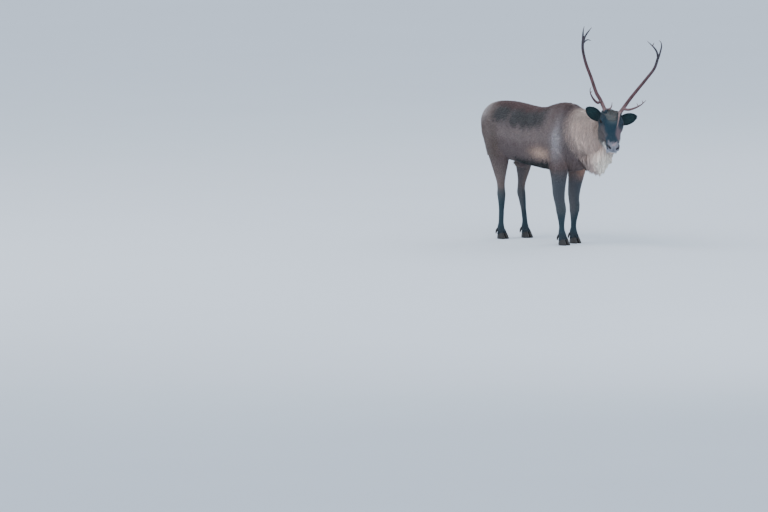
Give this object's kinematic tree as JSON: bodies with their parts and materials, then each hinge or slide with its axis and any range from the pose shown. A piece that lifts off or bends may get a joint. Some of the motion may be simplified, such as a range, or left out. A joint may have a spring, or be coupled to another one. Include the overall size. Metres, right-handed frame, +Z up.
{
  "type": "reindeer model",
  "caption": "Life-size standing reindeer bull in winter coat, head turned to its right, with branched antlers, pale shaggy neck ruff and throat mane, and cloven hooves.",
  "frame": {"origin": "centre of the bounding box, at the level of the soles", "axes": "+X the way the body heads, +Y to the animal's left, +Z up"},
  "size_m": [1.6924, 0.6413, 1.6755],
  "materials": {
    "coat_body": "dense brown hair",
    "coat_neck": "long pale hair",
    "coat_leg": "short dark hair",
    "coat_face": "short dark hair",
    "antler": "dry reddish brown bone with shallow grooves",
    "hoof": "dark horn",
    "eye": "wet and glossy"
  },
  "bodies": {
    "root": {"torso": "coat_body", "neck": "coat_neck", "head": "coat_face", "ear_right": "coat_face", "ear_left": "coat_face", "eye_right": "eye", "eye_left": "eye", "tail": "coat_body", "fore_right_forearm": "coat_leg", "fore_right_cannon": "coat_leg", "fore_right_pastern": "coat_leg", "fore_right_hoof_inner": "hoof", "fore_right_hoof_outer": "hoof", "fore_right_dewclaw_inner": "hoof", "fore_right_dewclaw_outer": "hoof", "fore_left_forearm": "coat_leg", "fore_left_cannon": "coat_leg", "fore_left_pastern": "coat_leg", "fore_left_hoof_inner": "hoof", "fore_left_hoof_outer": "hoof", "fore_left_dewclaw_inner": "hoof", "fore_left_dewclaw_outer": "hoof", "hind_right_shank": "coat_leg", "hind_right_cannon": "coat_leg", "hind_right_pastern": "coat_leg", "hind_right_hoof_inner": "hoof", "hind_right_hoof_outer": "hoof", "hind_right_dewclaw_inner": "hoof", "hind_right_dewclaw_outer": "hoof", "hind_left_shank": "coat_leg", "hind_left_cannon": "coat_leg", "hind_left_pastern": "coat_leg", "hind_left_hoof_inner": "hoof", "hind_left_hoof_outer": "hoof", "hind_left_dewclaw_inner": "hoof", "hind_left_dewclaw_outer": "hoof", "antler_right_base": "antler", "antler_right_beam": "antler", "antler_right_brow": "antler", "antler_right_bez": "antler", "antler_right_crown_front": "antler", "antler_right_crown_rear": "antler", "antler_right_crown_top": "antler", "antler_left_base": "antler", "antler_left_beam": "antler", "antler_left_brow": "antler", "antler_left_bez": "antler", "antler_left_crown_front": "antler", "antler_left_crown_rear": "antler"}
  },
  "joints": []
}
